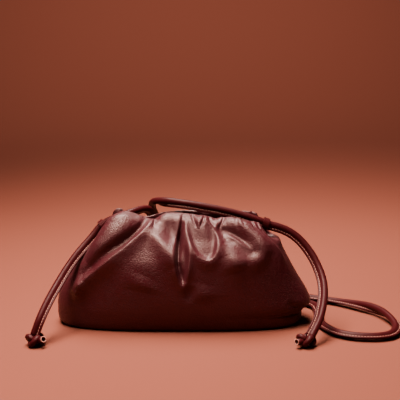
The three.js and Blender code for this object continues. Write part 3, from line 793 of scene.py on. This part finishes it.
around = np.roll(outer, -1, axis=1) - np.roll(outer, 1, axis=1)
rising = np.gradient(outer, axis=0)
normals = unit(np.cross(around, rising))
inner = outer - normals * LEATHER_THICK
inner[:, :, 2] = np.maximum(inner[:, :, 2], LEATHER_THICK)
inner_rows = inner[np.linspace(WALL_ROWS - 1, 0, INNER_ROWS).astype(int)]
rim_top = (outer[-1:] + inner[-1:]) / 2 + [0, 0, RIM_CROWN]
base_rings = [outer[:1] * [share, share, 1] for share in BASE_RINGS]
floor_rings = [inner_rows[-1:] * [share, share, 1] for share in reversed(BASE_RINGS)]
rows = np.concatenate([*base_rings, outer, rim_top, inner_rows, *floor_rings])
points = np.vstack([rows.reshape(-1, 3), [[0, 0, 0], [0, 0, LEATHER_THICK]]]) * MM
faces = grid_faces(len(rows), columns)
bottom, inside = len(points) - 2, len(points) - 1
last = (len(rows) - 1) * columns
faces += [(bottom, (c + 1) % columns, c) for c in range(columns)]
faces += [(inside, last + c, last + (c + 1) % columns) for c in range(columns)]
pouch = new_piece("gathered_pouch", points, faces, POUCH_LEATHER)
face_outwards(pouch)
print("pouch faces:", len(pouch.data.polygons))

# %% [markdown]
# Each tail ends in a knot tied in the strap itself. A real overhand knot is three crossings of one rope,
# so it is drawn as an open trefoil curve and swept with a slightly squeezed section. A plain ball would
# give the outline, but the crossings are what make it read as a knot.

# %% The knot's rope
KNOT_ROPE = 3.2
KNOT_SQUEEZE = 0.85
KNOT_SPREAD = 2.4
KNOT_RISE = 1.35
# How much of the closed curve is left open where the rope comes in and goes out, in radians.
KNOT_OPEN_IN = 0.35
KNOT_OPEN_OUT = 0.1
KNOT_POINTS = 60
# The wide side of the rope's section lies square to this direction.
KNOT_LEAN = (0.1, 0.2, 1)


def trefoil():
    """The line of an overhand knot about the origin, from where the tail comes in to the cut end."""
    t = np.linspace(KNOT_OPEN_IN, 2 * math.pi - KNOT_OPEN_OUT, KNOT_POINTS)
    x = np.sin(t) + 2 * np.sin(2 * t)
    y = np.cos(t) - 2 * np.cos(2 * t)
    z = -KNOT_RISE * np.sin(3 * t)
    return np.stack([x, y, z], axis=1) * KNOT_SPREAD


def squeezed_section(radius, sides=16):
    turns = np.linspace(0, 2 * math.pi, sides, endpoint=False)
    return np.stack([radius * np.cos(turns), radius * KNOT_SQUEEZE * np.sin(turns)], axis=1)


# %% [markdown]
# The cut end that sticks out of a knot is the rolled strip seen end on. It is made as a short open tube,
# because the dark hollow and the pale raw edge round it are what the eye finds first.

# %% The cut ends
CUT_RADIUS = 3.3
CUT_FLARE = 0.2
CUT_WALL = 0.8
CUT_LENGTH = 6.5
CUT_DEPTH = 3
# Where each cut end sits from the knot's middle, in millimetres, and the way it points.
CUT_ENDS = {
    "left": ((4.5, -3, 0.5), (0.75, -0.55, 0.4)),
    "right": ((-4.5, -3, -0.5), (-0.85, -0.5, 0.1)),
}


def cut_end(name, start, way, sides=20):
    """A short tube, open at its far end, with the raw edge of the leather round the opening."""
    way = unit(np.array(way, float))
    lip = unit(np.cross(way, [0, 0, 1]))
    across = np.cross(way, lip)
    turns = np.linspace(0, 2 * math.pi, sides, endpoint=False)
    ring = np.cos(turns)[:, None] * lip + KNOT_SQUEEZE * np.sin(turns)[:, None] * across
    stops = [(0, CUT_RADIUS), (CUT_LENGTH * 0.5, CUT_RADIUS), (CUT_LENGTH, CUT_RADIUS + CUT_FLARE),
             (CUT_LENGTH, CUT_RADIUS - CUT_WALL), (CUT_LENGTH - CUT_DEPTH, CUT_RADIUS - CUT_WALL)]
    rows = np.array([start + way * far + ring * radius for far, radius in stops])
    points = np.vstack([rows.reshape(-1, 3), [start], [start + way * (CUT_LENGTH - CUT_DEPTH)]]) * MM
    faces = grid_faces(len(stops), sides)
    near, far = len(points) - 2, len(points) - 1
    top = (len(stops) - 1) * sides
    faces += [(near, (c + 1) % sides, c) for c in range(sides)]
    faces += [(far, top + c, top + (c + 1) % sides) for c in range(sides)]
    piece = new_piece(name, points, faces, STRAP_LEATHER)
    piece.data.materials.append(RAW_EDGE)
    # The third band of faces is the cut itself.
    for face in piece.data.polygons[2 * sides:3 * sides]:
        face.material_index = 1
    face_outwards(piece)
    return piece


# %% Tie the knots
knots = {}
cut_ends = {}
for name in ("left", "right"):
    node = f"strap_knot_{name}"
    low, high = [np.array(corner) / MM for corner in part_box(node)]
    middle = (low + high) / 2
    line = trefoil()
    line = line - (line.min(axis=0) + line.max(axis=0)) / 2 + middle
    along = unit(np.gradient(line, axis=0))
    lip = unit(np.cross(along, KNOT_LEAN))
    rope = squeezed_section(KNOT_ROPE)
    knots[name] = swept(f"knot_{name}", line, lip, np.cross(along, lip), rope, STRAP_LEATHER)
    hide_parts(node)
    place, way = CUT_ENDS[name]
    cut_ends[name] = cut_end(f"cut_end_{name}", middle + place, way)
    print("knot", name, "is", np.round(high - low).astype(int).tolist(), "mm in size")

# %% [markdown]
# The rings that hold the strap are short bands of the same leather. The solid has the right size and
# place already, so it keeps its shape and only takes the leather finish, and so does the hidden bar.

# %% Finish the solids that stay
for node, material in (("strap_loop_left", STRAP_LEATHER), ("strap_loop_right", STRAP_LEATHER),
                       ("closing_frame", FRAME_LEATHER)):
    solid = bpy.data.objects[node]
    solid.data.materials.clear()
    solid.data.materials.append(material)
    print(node, "takes", material.name)

# %% [markdown]
# The seam along the strap's lip is hundreds of equal stitches, so Geometry Nodes sets them: the seam's
# line is cut into equal lengths, and one short thread lies along it at each cut. Real stitches show on
# both faces of the lip.

# %% The nodes that set stitches
THREAD_SIDES = 6
THREAD_SEGMENTS = 2


def stitch_tree():
    tree = bpy.data.node_groups.new("stitches", "GeometryNodeTree")
    face = tree.interface
    face.new_socket("Seam", in_out="INPUT", socket_type="NodeSocketGeometry")
    for label in ("Pitch", "Length", "Radius"):
        face.new_socket(label, in_out="INPUT", socket_type="NodeSocketFloat")
    face.new_socket("Thread", in_out="INPUT", socket_type="NodeSocketMaterial")
    face.new_socket("Stitches", in_out="OUTPUT", socket_type="NodeSocketGeometry")
    nodes, links = tree.nodes, tree.links
    given, made = nodes.new("NodeGroupInput"), nodes.new("NodeGroupOutput")
    as_curve = nodes.new("GeometryNodeMeshToCurve")
    cut = nodes.new("GeometryNodeResampleCurve")
    cut.mode = "LENGTH"
    aim = nodes.new("FunctionNodeAlignEulerToVector")
    aim.axis = "Z"
    way = nodes.new("GeometryNodeInputTangent")
    thread = nodes.new("GeometryNodeMeshCylinder")
    thread.inputs["Vertices"].default_value = THREAD_SIDES
    thread.inputs["Side Segments"].default_value = THREAD_SEGMENTS
    lay = nodes.new("GeometryNodeInstanceOnPoints")
    real = nodes.new("GeometryNodeRealizeInstances")
    finish = nodes.new("GeometryNodeSetMaterial")
    links.new(given.outputs["Seam"], as_curve.inputs["Mesh"])
    links.new(as_curve.outputs["Curve"], cut.inputs["Curve"])
    links.new(given.outputs["Pitch"], cut.inputs["Length"])
    links.new(cut.outputs["Curve"], lay.inputs["Points"])
    links.new(way.outputs["Tangent"], aim.inputs["Vector"])
    links.new(aim.outputs["Rotation"], lay.inputs["Rotation"])
    links.new(given.outputs["Radius"], thread.inputs["Radius"])
    links.new(given.outputs["Length"], thread.inputs["Depth"])
    links.new(thread.outputs["Mesh"], lay.inputs["Instance"])
    links.new(lay.outputs["Instances"], real.inputs["Geometry"])
    links.new(real.outputs["Geometry"], finish.inputs["Geometry"])
    links.new(given.outputs["Thread"], finish.inputs["Material"])
    links.new(finish.outputs["Geometry"], made.inputs["Stitches"])
    return tree


def set_input(modifier, label, value):
    for item in modifier.node_group.interface.items_tree:
        if item.name == label and item.in_out == "INPUT":
            modifier[item.identifier] = value


STITCHES = stitch_tree()
print("stitch nodes:", len(STITCHES.nodes))

# %% [markdown]
# The nodes run on a seam's line, and their result is kept as a plain mesh. A little of each stitch sinks
# into the leather, as a pulled thread does.

# %% Sew the strap
# Sizes in millimetres. The seam lies that far out from the strap's middle, and that far from its plane.
STITCH_PITCH = 2.9
STITCH_LENGTH = 1.9
STITCH_RADIUS = 0.32
SEAM_OUT = 3.35
SEAM_LIFT = 0.85


def stitched(name, lines):
    """Stitches along each of the lines, as one plain mesh."""
    points, edges = [], []
    for line in lines:
        start = len(points)
        points += [tuple(p) for p in line * MM]
        edges += [(start + i, start + i + 1) for i in range(len(line) - 1)]
    seam = bpy.data.meshes.new(name + "_seam")
    seam.from_pydata(points, edges, [])
    carrier = bpy.data.objects.new(name + "_seam", seam)
    bpy.context.scene.collection.objects.link(carrier)
    modifier = carrier.modifiers.new("stitches", "NODES")
    modifier.node_group = STITCHES
    for label, value in (("Pitch", STITCH_PITCH * MM), ("Length", STITCH_LENGTH * MM),
                         ("Radius", STITCH_RADIUS * MM), ("Thread", THREAD)):
        set_input(modifier, label, value)
    evaluated = carrier.evaluated_get(bpy.context.evaluated_depsgraph_get())
    mesh = bpy.data.meshes.new_from_object(evaluated)
    mesh.name = name
    bpy.data.objects.remove(carrier)
    piece = bpy.data.objects.new(name, mesh)
    bpy.context.scene.collection.objects.link(piece)
    face_outwards(piece)
    print(name, "has", len(mesh.polygons), "faces")
    return piece


threads = {}
for name, (line, lip, across) in run_lines.items():
    seams = [line + lip * SEAM_OUT + across * SEAM_LIFT * face for face in (-1, 1)]
    threads[name] = stitched(name.replace("strap", "stitches"), seams)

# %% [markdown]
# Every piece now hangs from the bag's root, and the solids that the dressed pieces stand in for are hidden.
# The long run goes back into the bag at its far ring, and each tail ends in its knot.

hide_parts("pouch_body")
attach(pouch, "root")
for name, piece in straps.items():
    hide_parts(name)
    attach(piece, "root")
    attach(threads[name], "root")
for piece in [*knots.values(), *cut_ends.values()]:
    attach(piece, "root")
for name, piece in straps.items():
    line = run_lines[name][0] * MM

# %% [markdown]
# The bag stands on a plain clay-coloured floor that curves up behind it, as a photographer's paper roll
# does. Without a floor the leather would have nothing warm to mirror and the bag would seem to float. The
# floor is matt, so that no bright patch of it shows in the belly.

# %% Floor
FLOOR_COLOUR = (0.14, 0.034, 0.019, 1)
FLOOR_FRONT = -3.0
FLOOR_BACK = 1.6
FLOOR_HALF_WIDTH = 4
CURVE_RADIUS = 0.8
BACKDROP_TOP = 3.0
FLOOR_ROUGHNESS = 0.9
FLOOR_SHINE = 0.1

FLOOR = bpy.data.materials.new("clay_floor")
FLOOR.use_nodes = True
floor_shader = FLOOR.node_tree.nodes["Principled BSDF"]
floor_shader.inputs["Base Color"].default_value = FLOOR_COLOUR
floor_shader.inputs["Roughness"].default_value = FLOOR_ROUGHNESS
floor_shader.inputs["Specular IOR Level"].default_value = FLOOR_SHINE


def studio_floor():
    turns = np.linspace(0, math.pi / 2, 12)
    curve = [(FLOOR_BACK + CURVE_RADIUS * math.sin(a), CURVE_RADIUS * (1 - math.cos(a))) for a in turns]
    profile = [(FLOOR_FRONT, 0), *curve, (FLOOR_BACK + CURVE_RADIUS, BACKDROP_TOP)]
    points = [(x, y, z) for x in (-FLOOR_HALF_WIDTH, FLOOR_HALF_WIDTH) for y, z in profile]
    count = len(profile)
    faces = [(i, i + count, i + count + 1, i + 1) for i in range(count - 1)]
    return new_piece("studio_floor", points, faces, FLOOR)


studio_floor()
print("floor:", 2 * FLOOR_HALF_WIDTH, "m wide")

# %% [markdown]
# A dark and slightly glossy leather shows little of its own colour: what is seen is mostly the light that
# it mirrors. So one wide soft light hangs overhead, which the shoulders and the top of the strap mirror
# towards the camera, while the belly mirrors only the warm floor and stays deep in tone. A second light is
# for the backdrop alone, and a faint fill from the right keeps the shadows from closing.

# %% Light
# Place and target in metres, size in metres, power in watts, colour, and how far it spreads in degrees.
LIGHTS = {
    "key": ((-0.16, 0.05, 1.1), (0, 0, 0.08), (1.4, 0.5), 36, (1, 0.93, 0.88), 95),
    "backdrop": ((0, 0.9, 1.6), (0, 2.2, 0.5), (1.6, 0.3), 30, (1, 0.95, 0.92), 120),
    "fill": ((1.2, -1.2, 0.6), (0, 0, 0.08), (1.0, 1.0), 0.45, (1, 0.86, 0.8), 180),
}
WORLD_COLOUR = (1, 0.95, 0.92, 1)
WORLD_STRENGTH = 0.01


def soft_light(name, place, target, size, power, colour, spread):
    data = bpy.data.lights.new(name, "AREA")
    data.shape = "RECTANGLE"
    data.size, data.size_y = size
    data.energy = power
    data.color = colour
    data.spread = math.radians(spread)
    lamp = bpy.data.objects.new(name, data)
    lamp.location = place
    lamp.rotation_euler = (Vector(target) - Vector(place)).to_track_quat("-Z", "Y").to_euler()
    bpy.context.scene.collection.objects.link(lamp)


for name, settings in LIGHTS.items():
    soft_light(name, *settings)
world = bpy.data.worlds.new("studio")
bpy.context.scene.world = world
world.use_nodes = True
surround = world.node_tree.nodes["Background"]
surround.inputs["Color"].default_value = WORLD_COLOUR
surround.inputs["Strength"].default_value = WORLD_STRENGTH
print("lights:", ", ".join(LIGHTS))
